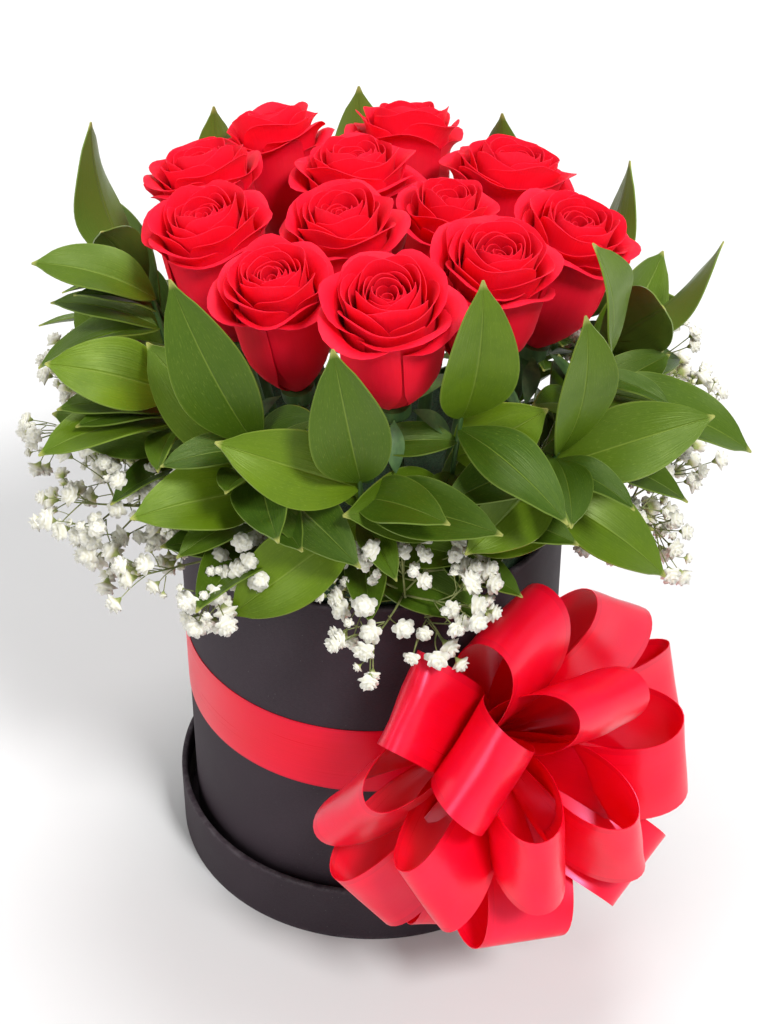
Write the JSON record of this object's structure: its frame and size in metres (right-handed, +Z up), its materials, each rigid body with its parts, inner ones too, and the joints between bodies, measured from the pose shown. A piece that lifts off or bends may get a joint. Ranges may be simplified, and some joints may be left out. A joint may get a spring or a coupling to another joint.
{
  "type": "flower box",
  "caption": "Round black hat box standing in its upturned lid, with a satin ribbon band and pull bow, holding a dome of red roses, ruscus leaves and gypsophila in wet foam.",
  "frame": {"origin": "centre of the underside of the upturned lid, on the surface it stands on", "axes": "+Z up along the axis of the box; the pictured front faces -Y; +X to the right as seen from the front"},
  "size_m": [0.2799, 0.2906, 0.3358],
  "materials": {
    "black_paper": "matte",
    "board": "matte",
    "red_satin": "satin",
    "liner_plastic": "gloss",
    "wet_foam": "matte",
    "ruscus_leaf": "satin",
    "gypsophila_white": "matte",
    "rose_petal": "matte",
    "rose_stem": "matte"
  },
  "bodies": {
    "lid": {"lid_face": "black_paper", "lid_disc": "board", "lid_hoop": "board", "lid_wrap": "black_paper"},
    "box": {"box_tube": "board", "box_base": "board", "box_wrap": "black_paper", "ribbon_band": "red_satin", "bow_tie": "red_satin", "bow_loops_outer": "red_satin", "bow_loops_middle": "red_satin", "bow_loops_inner": "red_satin", "bow_tails": "red_satin"},
    "arrangement": {"plastic_liner": "liner_plastic", "foam_left": "wet_foam", "foam_right": "wet_foam", "ruscus_01": "ruscus_leaf", "ruscus_02": "ruscus_leaf", "ruscus_03": "ruscus_leaf", "ruscus_04": "ruscus_leaf", "ruscus_05": "ruscus_leaf", "ruscus_06": "ruscus_leaf", "ruscus_07": "ruscus_leaf", "ruscus_08": "ruscus_leaf", "ruscus_09": "ruscus_leaf", "ruscus_10": "ruscus_leaf", "ruscus_11": "ruscus_leaf", "ruscus_12": "ruscus_leaf", "ruscus_13": "ruscus_leaf", "gypsophila_01": "gypsophila_white", "gypsophila_02": "gypsophila_white", "gypsophila_03": "gypsophila_white", "gypsophila_04": "gypsophila_white", "gypsophila_05": "gypsophila_white", "gypsophila_06": "gypsophila_white"},
    "rose_01": {"rose_01_bloom": "rose_petal", "rose_01_stem": "rose_stem"},
    "rose_02": {"rose_02_bloom": "rose_petal", "rose_02_stem": "rose_stem"},
    "rose_03": {"rose_03_bloom": "rose_petal", "rose_03_stem": "rose_stem"},
    "rose_04": {"rose_04_bloom": "rose_petal", "rose_04_stem": "rose_stem"},
    "rose_05": {"rose_05_bloom": "rose_petal", "rose_05_stem": "rose_stem"},
    "rose_06": {"rose_06_bloom": "rose_petal", "rose_06_stem": "rose_stem"},
    "rose_07": {"rose_07_bloom": "rose_petal", "rose_07_stem": "rose_stem"},
    "rose_08": {"rose_08_bloom": "rose_petal", "rose_08_stem": "rose_stem"},
    "rose_09": {"rose_09_bloom": "rose_petal", "rose_09_stem": "rose_stem"},
    "rose_10": {"rose_10_bloom": "rose_petal", "rose_10_stem": "rose_stem"},
    "rose_11": {"rose_11_bloom": "rose_petal", "rose_11_stem": "rose_stem"},
    "rose_12": {"rose_12_bloom": "rose_petal", "rose_12_stem": "rose_stem"}
  },
  "joints": [
    {"name": "box_lift", "type": "slide", "parent": "lid", "child": "box", "axis": [0, 0, 1], "range_m": [0, 0.06]},
    {"name": "arrangement_lift", "type": "slide", "parent": "box", "child": "arrangement", "axis": [0, 0, 1], "range_m": [0, 0.2]},
    {"name": "rose_01_pull", "type": "slide", "parent": "arrangement", "child": "rose_01", "axis": [-0.1769, 0.3157, 0.9322], "range_m": [0, 0.2]},
    {"name": "rose_02_pull", "type": "slide", "parent": "arrangement", "child": "rose_02", "axis": [0.0529, 0.3747, 0.9256], "range_m": [0, 0.2]},
    {"name": "rose_03_pull", "type": "slide", "parent": "arrangement", "child": "rose_03", "axis": [-0.2307, 0.1727, 0.9576], "range_m": [0, 0.2]},
    {"name": "rose_04_pull", "type": "slide", "parent": "arrangement", "child": "rose_04", "axis": [-0.0394, 0.1641, 0.9857], "range_m": [0, 0.2]},
    {"name": "rose_05_pull", "type": "slide", "parent": "arrangement", "child": "rose_05", "axis": [0.1848, 0.2088, 0.9603], "range_m": [0, 0.2]},
    {"name": "rose_06_pull", "type": "slide", "parent": "arrangement", "child": "rose_06", "axis": [-0.1968, -0.041, 0.9796], "range_m": [0, 0.2]},
    {"name": "rose_07_pull", "type": "slide", "parent": "arrangement", "child": "rose_07", "axis": [-0.0745, -0.0419, 0.9963], "range_m": [0, 0.2]},
    {"name": "rose_08_pull", "type": "slide", "parent": "arrangement", "child": "rose_08", "axis": [0.0925, 0.0494, 0.9945], "range_m": [0, 0.2]},
    {"name": "rose_09_pull", "type": "slide", "parent": "arrangement", "child": "rose_09", "axis": [0.2598, -0.0323, 0.9651], "range_m": [0, 0.2]},
    {"name": "rose_10_pull", "type": "slide", "parent": "arrangement", "child": "rose_10", "axis": [0.1396, -0.1465, 0.9793], "range_m": [0, 0.2]},
    {"name": "rose_11_pull", "type": "slide", "parent": "arrangement", "child": "rose_11", "axis": [-0.1367, -0.1902, 0.9722], "range_m": [0, 0.2]},
    {"name": "rose_12_pull", "type": "slide", "parent": "arrangement", "child": "rose_12", "axis": [-0.0391, -0.2462, 0.9684], "range_m": [0, 0.2]}
  ]
}
